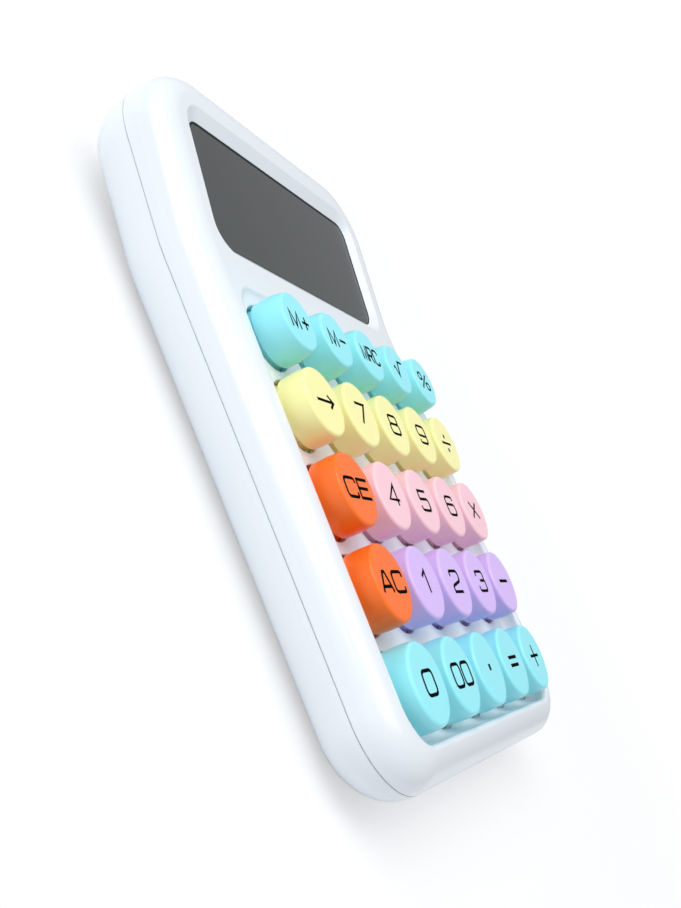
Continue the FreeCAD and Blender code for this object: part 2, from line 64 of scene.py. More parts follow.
# %% [markdown]
# ## The camera
#
# The calculator is seen from its left side, from close by and a little above, and the picture is rolled so
# that the keys climb from the lower right to the upper left. A camera is a place, three directions and a
# lens. The three directions are given here as they were measured, and become the columns of a rotation
# matrix. A long lens would flatten the fan of keys, so the lens stays at its fitted 40.7 mm.

# %% Place the camera
from mathutils import Matrix, Vector

camera_data = bpy.data.cameras.new("camera")
camera = bpy.data.objects.new("camera", camera_data)
bpy.context.scene.collection.objects.link(camera)
camera_place = Vector((-212.98, -74.06, 84.88)) * MM
camera_right = Vector((0.45915, -0.38560, 0.80031))
camera_up = Vector((-0.20673, 0.82977, 0.51840))
camera_back = camera_right.cross(camera_up)
camera_turn = Matrix((camera_right, camera_up, camera_back)).transposed()
camera.matrix_world = Matrix.Translation(camera_place) @ camera_turn.to_4x4()
camera_data.lens = 40.68
camera_data.sensor_width = 36.0
camera_data.shift_x = 0.0606
camera_data.shift_y = -0.1335
camera_data.clip_start = 0.005
camera_data.clip_end = 20.0
bpy.context.scene.camera = camera
print("camera at", [round(value, 4) for value in camera.location], "lens", camera_data.lens)

# %% [markdown]
# ## Colour and nodes
#
# Colours are given as the eye sees them, as sRGB hex values. The renderer adds up light, so it needs the
# linear values, and one function turns one into the other. Materials are small graphs, and one more
# function adds a node to a graph together with its settings and its links.

# %% Helpers for materials
def linear(hex_colour):
    """Linear RGBA of an sRGB hex colour. A channel c up to 0.04045 becomes c / 12.92, and a larger one
    becomes (c + 0.055) / 1.055, raised to the power 2.4."""
    channels = np.array([int(hex_colour[start:start + 2], 16) for start in (1, 3, 5)]) / 255
    dark = channels / 12.92
    light = ((channels + 0.055) / 1.055) ** 2.4
    return tuple(float(value) for value in np.where(channels <= 0.04045, dark, light)) + (1.0,)


def add(tree, kind, settings=(), links=()):
    """Adds one node. A setting with a lower-case name is a choice of the node, and any other names an input or
    gives its number. A link gives an input the output (node, name) that feeds it."""
    node = tree.nodes.new(kind)
    for name, value in dict(settings).items():
        if isinstance(name, str) and name.islower():
            setattr(node, name, value)
        else:
            node.inputs[name].default_value = value
    for name, (source, output) in dict(links).items():
        tree.links.new(source.outputs[output], node.inputs[name])
    return node


def new_material(name):
    """An empty node material, its node tree, and the link that feeds a pattern the Object coordinates."""
    material = bpy.data.materials.new(name)
    material.use_nodes = True
    tree = material.node_tree
    tree.nodes.clear()
    return material, tree, {"Vector": (add(tree, "ShaderNodeTexCoord"), "Object")}


print("mid grey in linear light:", [round(value, 3) for value in linear("#808080")])

# %% [markdown]
# ## Moulded ABS
#
# The shells and the key caps are ABS, injection moulded. The shells come out of a polished mould: they are
# glossy, but the skin keeps a very shallow waviness, called orange peel, that softens each reflection. The
# caps come out of a finely blasted mould and are satin. Both have an IOR near 1.53. A noise pattern on
# Object coordinates makes the skin, a second one lets the roughness drift a little, as handling does, and
# a third shifts the colour by a hair, as pigment does. The waves of each are given in millimetres.

# %% ABS materials
PIGMENT_SIZE = 25
HANDLING_SIZE = 8
GLOW_DEPTH = 0.6
GLOW_SPREAD = (1.0, 0.8, 0.7)


def moulded_abs(name, colour, shade, roughness, skin_size, skin_depth, glow, mirror):
    """Injection moulded ABS. The base colour moves between the colour and its shade with a slow noise, the
    roughness drifts by a tenth of itself, and the skin is a noise of the given size and depth in mm. The glow
    is the share of light that goes in and out again, and the mirror is the level of the hard reflection."""
    material, tree, here = new_material(name)
    pigment = add(tree, "ShaderNodeTexNoise", {"Scale": 1 / (PIGMENT_SIZE * MM), "Detail": 1.0}, here)
    tones = {"data_type": "RGBA", 6: linear(colour), 7: linear(shade)}
    base = add(tree, "ShaderNodeMix", tones, {"Factor": (pigment, "Fac")})
    handling = add(tree, "ShaderNodeTexNoise", {"Scale": 1 / (HANDLING_SIZE * MM), "Detail": 3.0}, here)
    drift = {"From Min": 0.3, "From Max": 0.7, "To Min": 0.9 * roughness, "To Max": 1.1 * roughness}
    gloss = add(tree, "ShaderNodeMapRange", drift, {"Value": (handling, "Fac")})
    skin = add(tree, "ShaderNodeTexNoise", {"Scale": 1 / (skin_size * MM), "Detail": 2.0}, here)
    waves = {"Distance": skin_depth * MM, "Strength": 1.0}
    bump = add(tree, "ShaderNodeBump", waves, {"Height": (skin, "Fac")})
    optics = {
        "IOR": 1.53,
        "Specular IOR Level": mirror,
        "Subsurface Weight": glow,
        "Subsurface Scale": GLOW_DEPTH * MM,
        "Subsurface Radius": GLOW_SPREAD,
    }
    sources = {"Base Color": (base, 2), "Roughness": (gloss, "Result"), "Normal": (bump, "Normal")}
    shader = add(tree, "ShaderNodeBsdfPrincipled", optics, sources)
    add(tree, "ShaderNodeOutputMaterial", {}, {"Surface": (shader, "BSDF")})
    return material


shell_white = moulded_abs(
    "glossy white ABS, polished mould", "#E8EDF1", "#E4EAF0",
    roughness=0.2, skin_size=2.2, skin_depth=0.002, glow=0.0, mirror=0.5,
)
cap_colours = {
    "cap_teal": ("#9BF0F9", "#95ECF6"),
    "cap_yellow": ("#FFFAB2", "#FDF6AA"),
    "cap_orange": ("#FF7824", "#FD711F"),
    "cap_pink": ("#FFD1DB", "#FCCCD7"),
    "cap_purple": ("#DCC0FB", "#D8BAF8"),
}
cap_abs = {}
for slot, (colour, shade) in cap_colours.items():
    cap_abs[slot] = moulded_abs(
        "satin ABS, " + slot.removeprefix("cap_"), colour, shade,
        roughness=0.32, skin_size=0.5, skin_depth=0.004, glow=0.1, mirror=0.35,
    )
print("ABS materials:", 1 + len(cap_abs))

# %% [markdown]
# ## Surfaces of revolution
#
# A key cap is a turned shape: a closed outline of radii and heights, carried once round an axis. The
# outline is an array of points, the angles are another, and their outer product is the whole surface. A
# grid of points becomes a mesh by joining neighbours, and round an axis or a closed outline the last point
# is the first one's neighbour.

# %% Turned meshes
import bmesh

SMOOTH_ANGLE = 32


def arc(centre_r, centre_h, radius, first, last, count):
    """Points on an arc: radius times the cosine and sine of angles spread evenly from first to last."""
    angles = np.radians(np.linspace(first, last, count))
    return np.stack([centre_r + radius * np.cos(angles), centre_h + radius * np.sin(angles)], axis=1)


def revolved(outline, count):
    """Grid of points (count, len(outline), 3): each (r, h) becomes (r cos a, r sin a, h) at count angles a."""
    angles = np.linspace(0, 2 * np.pi, count, endpoint=False)
    x = np.outer(np.cos(angles), outline[:, 0])
    y = np.outer(np.sin(angles), outline[:, 0])
    z = np.broadcast_to(outline[:, 1], x.shape)
    return np.stack([x, y, z], axis=2)


def grid_faces(rows, columns, wrap_rows, wrap_columns):
    """Quads between neighbours in a grid of points: point (i, j) has the number i * columns + j."""
    firsts = np.arange(rows - (not wrap_rows)), np.arange(columns - (not wrap_columns))
    i, j = (numbers.ravel() for numbers in np.meshgrid(*firsts, indexing="ij"))
    next_i, next_j = (i + 1) % rows, (j + 1) % columns
    corners = (i, j), (next_i, j), (next_i, next_j), (i, next_j)
    return np.stack([row * columns + column for row, column in corners], axis=1)


def new_piece(name, points, faces, material, smooth_angle=SMOOTH_ANGLE):
    """A mesh object at the origin from points in mm. Doubles are merged, normals point outwards, and only
    edges sharper than the angle stay sharp."""
    mesh = bpy.data.meshes.new(name)
    mesh.from_pydata((np.asarray(points).reshape(-1, 3) * MM).tolist(), [], [list(face) for face in faces])
    build = bmesh.new()
    build.from_mesh(mesh)
    bmesh.ops.remove_doubles(build, verts=build.verts, dist=1e-7)
    bmesh.ops.dissolve_degenerate(build, dist=1e-8, edges=build.edges)
    bmesh.ops.recalc_face_normals(build, faces=build.faces)
    build.to_mesh(mesh)
    build.free()
    mesh.shade_smooth()
    mesh.set_sharp_from_angle(angle=math.radians(smooth_angle))
    mesh.materials.append(material)
    piece = bpy.data.objects.new(name, mesh)
    bpy.context.scene.collection.objects.link(piece)
    return piece


print("faces of a 4 by 3 tube:", len(grid_faces(4, 3, True, False)))

# %% [markdown]
# ## Twenty-five key caps
#
# Each cap is a hollow, slightly barrel-shaped body with a rounded top edge. It ends 0.7 mm above the deck
# and goes on as a narrower neck, so that a dark line of shadow runs round its foot. Below are a flange that
# keeps it in its hole and a stem that stands on the silicone dome. The caps of the rear row are smaller and
# taller, and bulge more. The outline bends at the top edge in an arc of 0.7 mm, and has an extra point
# close to each end of that arc, so that the smooth shading of the arc doesn't spread over the flat top.

# %% Sizes of the caps
SMALL_CAP = {"top_radius": 6.5, "base_radius": 7.1, "height": 7.7, "bulge": 0.45}
LARGE_CAP = {"top_radius": 7.42, "base_radius": 7.5, "height": 6.9, "bulge": 0.2}
CAP_SIZES = [SMALL_CAP] + [LARGE_CAP] * 4
CAP_WALL = 1.0
CAP_EDGE = 0.7
FOOT_EDGE = 0.15
NECK_HEIGHT = 0.7
NECK_INSET = 0.6
FLANGE_TOP = 1.9
FLANGE_BOTTOM = 2.7
FLANGE_WIDTH = 0.75
STEM_RADIUS = 2.2
EXTRA_POINT = 0.06
ARC_POINTS = 11
FOOT_POINTS = 5


def cap_outline(top_radius, base_radius, height, bulge):
    """Closed outline of a cap, from the middle of its top, down the outside and back up inside. The side is an
    arc of radius R = (c^2 / 4 + b^2) / 2b over a chord of length c with the bulge b. An edge of radius e that
    touches the side and a flat face has its centre e from that face and R - e from the centre of the arc."""
    chord = np.array([top_radius - base_radius, height - NECK_HEIGHT])
    length = np.linalg.norm(chord)
    side = (length ** 2 / 4 + bulge ** 2) / (2 * bulge)
    outwards = np.array([chord[1], -chord[0]]) / length
    centre = np.array([top_radius + base_radius, height + NECK_HEIGHT]) / 2 - outwards * (side - bulge)
    edge_z, foot_z = height - CAP_EDGE, NECK_HEIGHT + FOOT_EDGE
    edge_r = centre[0] + math.sqrt((side - CAP_EDGE) ** 2 - (edge_z - centre[1]) ** 2)
    foot_r = centre[0] + math.sqrt((side - FOOT_EDGE) ** 2 - (foot_z - centre[1]) ** 2)
    upper = math.degrees(math.atan2(edge_z - centre[1], edge_r - centre[0]))
    lower = math.degrees(math.atan2(foot_z - centre[1], foot_r - centre[0]))
    hold = math.degrees(EXTRA_POINT / side)
    neck_radius = base_radius - NECK_INSET
    parts = [
        [(0.0, height), (0.5 * edge_r, height), (edge_r - EXTRA_POINT, height)],
        arc(edge_r, edge_z, CAP_EDGE, 90, upper, ARC_POINTS),
        arc(centre[0], centre[1], side, upper - hold, lower + hold, ARC_POINTS),
        arc(foot_r, foot_z, FOOT_EDGE, lower, -90, FOOT_POINTS),
        [(neck_radius, NECK_HEIGHT), (neck_radius, -FLANGE_TOP)],
        [(base_radius + FLANGE_WIDTH, -FLANGE_TOP), (base_radius + FLANGE_WIDTH, -FLANGE_BOTTOM)],
        [(neck_radius - CAP_WALL, -FLANGE_BOTTOM), (neck_radius - CAP_WALL, height - CAP_WALL)],
        [(STEM_RADIUS, height - CAP_WALL), (STEM_RADIUS, -FLANGE_BOTTOM), (0.0, -FLANGE_BOTTOM)],
    ]
    return np.concatenate([np.asarray(part, float) for part in parts])


print("points of a cap's outline:", len(cap_outline(**SMALL_CAP)), "and", len(cap_outline(**LARGE_CAP)))

# %% [markdown]
# ## Square to the deck
#
# The deck slopes towards the user, and the caps stand square to it. So each turned grid is tilted by the
# deck's 4.8 degrees and moved to its place. The same sizes made the CAD solids, and the print compares the
# boxes of the two.

# %% Places on the deck
DECK_SLOPE = 4.8
DECK_REAR_Y = 21.2555
DECK_REAR_Z = 20.2479
COLUMN_PITCH = 18.0
COLUMN_X = np.arange(-2, 3) * COLUMN_PITCH
ROW_Y = np.array([9.6555, -7.5945, -25.6445, -43.6945, -61.7445])
PLACES = [(row, column) for row in range(len(ROW_Y)) for column in range(len(COLUMN_X))]
KEYS = [(row, column, str(row + 1) + "_" + str(column + 1)) for row, column in PLACES]


def tilted(points, slope, place):
    """Points turned about X by a slope s in degrees and moved to a place: y' = y cos s - z sin s along the
    slope, and z' = y sin s + z cos s up from it."""
    cosine, sine = math.cos(math.radians(slope)), math.sin(math.radians(slope))
    moved = np.empty_like(points)
    moved[..., 0] = points[..., 0] + place[0]
    moved[..., 1] = points[..., 1] * cosine - points[..., 2] * sine + place[1]
    moved[..., 2] = points[..., 1] * sine + points[..., 2] * cosine + place[2]
    return moved


def on_deck(points, x, y):
    """Points tilted with the deck and moved to its surface at (x, y)."""
    height = DECK_REAR_Z + (y - DECK_REAR_Y) * math.tan(math.radians(DECK_SLOPE))
    return tilted(points, DECK_SLOPE, (x, y, height))


print("keys:", len(KEYS), "deck below the front row in mm:", on_deck(np.zeros(3), 0.0, ROW_Y[-1]).round(2))

# %% Make the caps
CAP_STEPS = 96
cap_slots = [
    ["cap_teal"] * 5,
    ["cap_yellow"] * 5,
    ["cap_orange"] + ["cap_pink"] * 4,
    ["cap_orange"] + ["cap_purple"] * 4,
    ["cap_teal"] * 5,
]
cap_grids = [revolved(cap_outline(**size), CAP_STEPS) for size in CAP_SIZES]
cap_faces = grid_faces(*cap_grids[0].shape[:2], True, False)
worst = 0.0
for row, column, key in KEYS:
    slot = cap_slots[row][column]
    points = on_deck(cap_grids[row], COLUMN_X[column], ROW_Y[row])
    cap = new_piece("turned_cap_" + key, points, cap_faces, cap_abs[slot])
    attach(cap, "key_" + key)
    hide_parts("key_cap_" + key)
    low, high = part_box("key_cap_" + key)
    flat = points.reshape(-1, 3) * MM
    apart = np.abs([flat.min(0) - np.array(low), flat.max(0) - np.array(high)])
    worst = max(worst, apart.max())
print("caps:", len(KEYS), "largest distance from the CAD boxes in mm:", round(worst / MM, 3))

# %% [markdown]
# ## Printed legends
#
# The legends are pad printed: a film of black ink a few hundredths of a millimetre thick, drawn with an
# even, squarish pen. An image of each legend would be quick, but blurs when seen close. Here each glyph is
# a few pen strokes instead, a polyline whose corners are rounded by a radius, and the pen is a flat ribbon
# with mitred joints. The letters are as wide as they are high, as in the wide lettering of that style.

# %% The pen
PEN_WIDTH = 0.64
INK_FILM = 0.03
CORNER_POINTS = 9
SAME_POINT = 1e-4
LEAST_SHARE = 0.35


def rounded_path(corners, closed):
    """Polyline through corners (x, y, r). A corner with a radius becomes an arc-like curve between the
    points a distance r before and after it: (1-t)^2 a + 2 t (1-t) corner + t^2 b for t from 0 to 1."""
    corners = np.asarray(corners, float)
    points = []
    count = len(corners)
    for index, (x, y, r) in enumerate(corners):
        here = np.array([x, y])
        inner = closed or 0 < index < count - 1
        if not inner or r == 0:
            points.append(here[None])
            continue
        before = corners[index - 1, :2] - here
        after = corners[(index + 1) % count, :2] - here
        start = here + before / np.linalg.norm(before) * min(r, np.linalg.norm(before) / 2)
        end = here + after / np.linalg.norm(after) * min(r, np.linalg.norm(after) / 2)
        t = np.linspace(0, 1, CORNER_POINTS)[:, None]
        points.append((1 - t) ** 2 * start + 2 * t * (1 - t) * here + t ** 2 * end)
    path = np.concatenate(points)
    keep = np.ones(len(path), bool)
    keep[1:] = np.linalg.norm(np.diff(path, axis=0), axis=1) > SAME_POINT
    return path[keep]


def ribbon(path, width, closed):
    """Left and right borders of a pen stroke. Each joint is mitred: the border lies half the width away from
    both neighbouring runs, along the sum of their normals n1 + n2 divided by 1 + n1 . n2. A least value for
    that divisor keeps the mitre of a very sharp corner short."""
    if closed:
        run = np.roll(path, -1, axis=0) - path
        run_in, run_out = np.roll(run, 1, axis=0), run
    else:
        run = np.diff(path, axis=0)
        run_in, run_out = np.vstack([run[:1], run]), np.vstack([run, run[-1:]])
    normal_in = np.stack([-run_in[:, 1], run_in[:, 0]], axis=1) / np.linalg.norm(run_in, axis=1)[:, None]
    normal_out = np.stack([-run_out[:, 1], run_out[:, 0]], axis=1) / np.linalg.norm(run_out, axis=1)[:, None]
    share = 1 + np.sum(normal_in * normal_out, axis=1)
    mitre = (normal_in + normal_out) / np.maximum(share, LEAST_SHARE)[:, None]
    return path + mitre * width / 2, path - mitre * width / 2


def stroke_mesh(corners, closed, width=PEN_WIDTH):
    """Closed flat band of ink along a stroke: four border lines, two on top of the film and two as deep in
    the cap."""
    path = rounded_path(corners, closed)
    left, right = ribbon(path, width, closed)
    sides = []
    for border, height in ((right, INK_FILM), (left, INK_FILM), (left, -INK_FILM), (right, -INK_FILM)):
        sides.append(np.column_stack([border, np.full(len(border), height)]))
    grid = np.stack(sides, axis=1)
    faces = grid_faces(len(path), len(sides), closed, True).tolist()
    if not closed:
        last = len(sides) * (len(path) - 1)
        faces += [[0, 1, 2, 3], [last + 3, last + 2, last + 1, last]]
    return grid.reshape(-1, 3), faces


print("points of an L-shaped stroke:", len(stroke_mesh([(0, 4, 0), (0, 0, 1), (4, 0, 0)], False)[0]))

# %% [markdown]
# ## The glyphs
#
# Each glyph is drawn in a box one unit wide and one unit high and then stretched to its size in
# millimetres. A corner is given by its place and its radius, so that a nought is four corners and a seven
# is three. A stroke is open or closed.

# %% Draw the glyphs
OPEN, CLOSED = False, True
ROUND = 0.30
GLYPHS = {
    "0": [(CLOSED, [(0, 0, ROUND), (1, 0, ROUND), (1, 1, ROUND), (0, 1, ROUND)])],
    "1": [(OPEN, [(0.22, 0.72, 0), (0.58, 1, 0), (0.58, 0, 0)])],
    "2": [(OPEN, [
        (0.02, 0.74, 0), (0.02, 1, 0.22), (1, 1, 0.26), (1, 0.52, 0.24), (0, 0.28, 0.2), (0, 0, 0), (1, 0, 0),
    ])],
    "3": [
        (OPEN, [(0.02, 0.76, 0), (0.02, 1, 0.2), (0.96, 1, 0.22), (0.96, 0.53, 0.16), (0.36, 0.53, 0)]),
        (OPEN, [(0.8, 0.53, 0), (1, 0.53, 0.16), (1, 0, 0.26), (0, 0, 0.22), (0, 0.25, 0)]),
    ],
    "4": [(OPEN, [(0.76, 0, 0), (0.76, 1, 0), (0, 0.27, 0), (1, 0.27, 0)])],
    "5": [(OPEN, [
        (0.96, 1, 0), (0.07, 1, 0), (0.05, 0.56, 0.04), (1, 0.6, 0.26), (1, 0, 0.26), (0, 0, 0.22),
        (0, 0.22, 0),
    ])],
    "6": [(OPEN, [
        (0.94, 0.8, 0), (0.94, 1, 0.2), (0, 1, 0.32), (0, 0, 0.28), (1, 0, 0.26), (1, 0.57, 0.24), (0, 0.57, 0),
    ])],
    "7": [(OPEN, [(0, 1, 0), (1, 1, 0), (0.26, 0, 0)])],
    "8": [
        (CLOSED, [(0.06, 0.54, 0.18), (0.94, 0.54, 0.18), (0.94, 1, 0.2), (0.06, 1, 0.2)]),
        (CLOSED, [(0, 0, 0.24), (1, 0, 0.24), (1, 0.54, 0.22), (0, 0.54, 0.22)]),
    ],
    "9": [(OPEN, [
        (0.06, 0.2, 0), (0.06, 0, 0.2), (1, 0, 0.32), (1, 1, 0.28), (0, 1, 0.26), (0, 0.43, 0.24), (1, 0.43, 0),
    ])],
    "A": [
        (OPEN, [(0, 0, 0), (0.4, 1, 0.04), (0.6, 1, 0.04), (1, 0, 0)]),
        (OPEN, [(0.14, 0.28, 0), (0.86, 0.28, 0)]),
    ],
    "C": [(OPEN, [(1, 0.74, 0), (1, 1, 0.24), (0, 1, ROUND), (0, 0, ROUND), (1, 0, 0.24), (1, 0.26, 0)])],
    "E": [
        (OPEN, [(1, 1, 0), (0, 1, 0.02), (0, 0, 0.02), (1, 0, 0)]),
        (OPEN, [(0, 0.52, 0), (0.92, 0.52, 0)]),
    ],
    "M": [(OPEN, [(0, 0, 0), (0.04, 1, 0), (0.5, 0.08, 0), (0.96, 1, 0), (1, 0, 0)])],
    "R": [
        (OPEN, [(0, 0, 0), (0, 1, 0), (0.95, 1, 0.22), (0.95, 0.44, 0.22), (0, 0.44, 0)]),
        (OPEN, [(0.5, 0.44, 0), (1, 0, 0)]),
    ],
}
print("glyphs:", len(GLYPHS))

# %% [markdown]
# ## Signs
#
# The signs are drawn in millimetres about the middle of the cap. The dots of the division sign and the
# decimal point are short strokes, about as long as they are wide. The root is one stroke, and per cent is
# two rings and a slash.

# %% Draw the signs
def ring(x, y, rx, ry):
    """Closed stroke round a centre: four corners with radii so large that they join into an oval."""
    r = min(rx, ry)
    return (CLOSED, [(x - rx, y - ry, r), (x + rx, y - ry, r), (x + rx, y + ry, r), (x - rx, y + ry, r)])


def bar(x_low, y_low, x_high, y_high):
    """Straight open stroke between two points."""
    return (OPEN, [(x_low, y_low, 0), (x_high, y_high, 0)])


SIGNS = {
    "small_plus": [bar(-1.5, 0, 1.5, 0), bar(0, -1.45, 0, 1.45)],
    "small_minus": [bar(-1.6, 0, 1.6, 0)],
    "root": [(OPEN, [(-3.0, -0.1, 0), (-2.2, 0.4, 0), (-1.0, -2.1, 0), (0.7, 2.1, 0), (3.5, 2.1, 0)])],
    "percent": [ring(-1.9, 1.25, 1.2, 0.95), ring(1.9, -1.25, 1.2, 0.95), bar(-2.6, -2.25, 2.6, 2.25)],
    "arrow": [bar(-3.6, 0, 3.45, 0), (OPEN, [(1.7, 1.45, 0), (3.6, 0, 0), (1.7, -1.45, 0)])],
    "divide": [bar(-3.2, 0, 3.2, 0), bar(-0.5, 1.9, 0.5, 1.9), bar(-0.5, -1.9, 0.5, -1.9)],
    "times": [bar(-2.5, -2.0, 2.5, 2.0), bar(-2.5, 2.0, 2.5, -2.0)],
    "minus": [bar(-3.1, 0, 3.1, 0)],
    "point": [bar(-0.6, 0, 0.6, 0)],
    "equals": [bar(-2.9, 0.85, 2.9, 0.85), bar(-2.9, -0.85, 2.9, -0.85)],
    "plus": [bar(-3.2, 0, 3.2, 0), bar(0, -2.5, 0, 2.5)],
}
print("signs:", len(SIGNS))

# %% [markdown]
# ## Setting the legends
#
# A word is a row of glyphs with a gap between their boxes, centred on its cap. Most digits share one size,
# and so do the two orange words. Beside the M of the memory keys stands a small sign.

# %% Set the words
def glyph_strokes(glyph, left, low, width, height):
    """Strokes of a glyph, stretched to its box in mm. A radius is scaled by the height."""
    strokes = []
    for closed, corners in GLYPHS[glyph]:
        strokes.append((closed, [(left + x * width, low + y * height, r * height) for x, y, r in corners]))
    return strokes


def word_strokes(word, width, height, gap=0):
    """Strokes of a word, centred: each glyph has the same width, and the gap lies between their boxes."""
    total = len(word) * width + (len(word) - 1) * gap
    strokes = []
    for index, glyph in enumerate(word):
        strokes += glyph_strokes(glyph, index * (width + gap) - total / 2, -height / 2, width, height)
    return strokes


def shifted(strokes, x):
    """Strokes moved sideways by x."""
    return [(closed, [(cx + x, cy, r) for cx, cy, r in corners]) for closed, corners in strokes]


DIGIT = {"width": 5.2, "height": 4.5}
PAIR = {"width": 4.7, "height": 3.8, "gap": 1.2}
memory = shifted(word_strokes("M", width=3.6, height=3.9), -2.2)
LEGENDS = [
    [
        memory + shifted(SIGNS["small_plus"], 2.5),
        memory + shifted(SIGNS["small_minus"], 2.6),
        word_strokes("MRC", width=2.6, height=3.8, gap=0.75),
        SIGNS["root"],
        SIGNS["percent"],
    ],
    [
        SIGNS["arrow"],
        word_strokes("7", width=4.6, height=4.6),
        word_strokes("8", **DIGIT),
        word_strokes("9", **DIGIT),
        SIGNS["divide"],
    ],
    [word_strokes("CE", **PAIR), *(word_strokes(digit, **DIGIT) for digit in "456"), SIGNS["times"]],
    [word_strokes("AC", **PAIR), *(word_strokes(digit, **DIGIT) for digit in "123"), SIGNS["minus"]],
    [
        word_strokes("0", width=5.0, height=4.2),
        word_strokes("00", width=4.4, height=4.2, gap=1.1),
        SIGNS["point"],
        SIGNS["equals"],
        SIGNS["plus"],
    ],
]
print("strokes of all legends:", sum(len(strokes) for legends in LEGENDS for strokes in legends))

# %% [markdown]
# ## Printing
#
# Every legend becomes one mesh, tilted with its cap, and rides on the same body, so the ink goes down with
# the key. The ink is a matt black that soaks up most of what falls on it even when it is seen at a slant,
# so its IOR and its specular level are low. The small rear row is printed with a thinner pen. The dots, the
# minus sign and the equals sign have widths of their own, given by row, column and number of the stroke.

# %% Print the legends
DRAG_SIZE = 0.4
THIN_PEN = 0.58
OWN_WIDTHS = {(1, 4, 1): 1.0, (1, 4, 2): 1.0, (3, 4, 0): 0.75, (4, 2, 0): 1.3, (4, 3, 0): 0.72, (4, 3, 1): 0.72}


def ink_material():
    """Pad printing ink: near black, with a fine noise in its roughness, the drag of the pad."""
    material, tree, here = new_material("black pad printing ink")
    drag = add(tree, "ShaderNodeTexNoise", {"Scale": 1 / (DRAG_SIZE * MM), "Detail": 2.0}, here)
    gloss = add(tree, "ShaderNodeMapRange", {"To Min": 0.6, "To Max": 0.8}, {"Value": (drag, "Fac")})
    optics = {"Base Color": linear("#050506"), "IOR": 1.2, "Specular IOR Level": 0.1}
    shader = add(tree, "ShaderNodeBsdfPrincipled", optics, {"Roughness": (gloss, "Result")})
    add(tree, "ShaderNodeOutputMaterial", {}, {"Surface": (shader, "BSDF")})
    return material


ink = ink_material()
legend_faces = 0
for row, column, key in KEYS:
    all_points, all_faces, used = [], [], 0
    for index, (closed, corners) in enumerate(LEGENDS[row][column]):
        width = OWN_WIDTHS.get((row, column, index), THIN_PEN if row == 0 else PEN_WIDTH)
        points, faces = stroke_mesh(corners, closed, width)
        all_points.append(points)
        all_faces += [[number + used for number in face] for face in faces]
        used += len(points)
    points = np.concatenate(all_points)
    points[:, 2] += CAP_SIZES[row]["height"]
    points = on_deck(points, COLUMN_X[column], ROW_Y[row])
    legend = new_piece("legend_" + key, points, all_faces, ink)
    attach(legend, "key_" + key)
    legend_faces += len(all_faces)
print("legends:", len(KEYS), "faces:", legend_faces)

# %% [markdown]
# ## The smoked window
#
# The window is a plate of smoked acrylic, cut with a fine polished chamfer and lying in a bevelled recess.
# The plate is one outline, a rounded rectangle, carried along a short profile of insets and heights: up its
# side, over the chamfer and in over its face. It is tilted with the display, which slopes more than the
# deck.

# %% Rounded rectangles
DISPLAY_SLOPE = 9.3
DISPLAY_Y = 31.2555
DISPLAY_Z = 21.3926
WINDOW_HALF_WIDTH = 40.9
WINDOW_LENGTH = 31.85
WINDOW_CORNER = 4.5
WINDOW_STEPS = 16


def rounded_rectangle(half_x, low_y, high_y, radius, steps):
    """Points and outward normals round a rectangle with equal corner radii: each corner adds steps points
    centre + radius * (cos a, sin a), and the normal there is (cos a, sin a)."""
    angles = np.linspace(0, np.pi / 2, steps)
    points, normals = [], []
    for quarter, (side_x, side_y) in enumerate(((1, 1), (-1, 1), (-1, -1), (1, -1))):
        a = angles + quarter * np.pi / 2
        normal = np.stack([np.cos(a), np.sin(a)], axis=1)
        centre = np.array([side_x * (half_x - radius), (high_y - radius) if side_y > 0 else (low_y + radius)])
        points.append(centre + radius * normal)
        normals.append(normal)
    return np.concatenate(points), np.concatenate(normals)


def plate_grid(points, normals, profile):
    """Grid (points, profile, 3): each outline point is moved inwards by the inset and up to the height of
    each profile entry."""
    grid = np.empty((len(points), len(profile), 3))
    for index, (inset, height) in enumerate(profile):
        grid[:, index, :2] = points - normals * inset
        grid[:, index, 2] = height
    return grid


window_outline, window_normals = rounded_rectangle(
    WINDOW_HALF_WIDTH, 0.0, WINDOW_LENGTH, WINDOW_CORNER, WINDOW_STEPS
)
print("points of the window's outline:", len(window_outline))

# %% [markdown]
# ## Acrylic and a painted gap shadow
#
# The display behind the window is off, and the back of the plate is printed, so nothing shows through it:
# it reads as an even dark grey with a hard gloss, IOR 1.49. A black ring round its face is painted shadow
# of the gap between the plate and its recess, and the sawn edge of the sheet continues it. Both are one
# near black.

# %% Window materials
CLOUD_SIZE = 12
SAW_SIZE = 0.5


def smoked_acrylic():
    """Cast acrylic, smoked and printed behind: even dark grey, polished, with a very slow cloudiness in its
    colour and gloss."""
    material, tree, here = new_material("smoked acrylic, polished")
    cloud = add(tree, "ShaderNodeTexNoise", {"Scale": 1 / (CLOUD_SIZE * MM), "Detail": 2.0}, here)
    tones = {"data_type": "RGBA", 6: linear("#3B3D3D"), 7: linear("#3F4141")}
    base = add(tree, "ShaderNodeMix", tones, {"Factor": (cloud, "Fac")})
    gloss = add(tree, "ShaderNodeMapRange", {"To Min": 0.18, "To Max": 0.26}, {"Value": (cloud, "Fac")})
    sources = {"Base Color": (base, 2), "Roughness": (gloss, "Result")}
    shader = add(tree, "ShaderNodeBsdfPrincipled", {"IOR": 1.49}, sources)
    add(tree, "ShaderNodeOutputMaterial", {}, {"Surface": (shader, "BSDF")})
    return material


def cut_edge_and_gap_shadow():
    """Sawn edge of the sheet and painted shadow of the gap round its face: nearly black, its gloss broken by
    the saw's marks.
    """
    material, tree, here = new_material("black cut edge, painted gap shadow")
    saw = add(tree, "ShaderNodeTexNoise", {"Scale": 1 / (SAW_SIZE * MM)}, here)
    gloss = add(tree, "ShaderNodeMapRange", {"To Min": 0.3, "To Max": 0.6}, {"Value": (saw, "Fac")})
    optics = {"Base Color": linear("#0E0F10"), "IOR": 1.49, "Specular IOR Level": 0.15}
    shader = add(tree, "ShaderNodeBsdfPrincipled", optics, {"Roughness": (gloss, "Result")})
    add(tree, "ShaderNodeOutputMaterial", {}, {"Surface": (shader, "BSDF")})
    return material


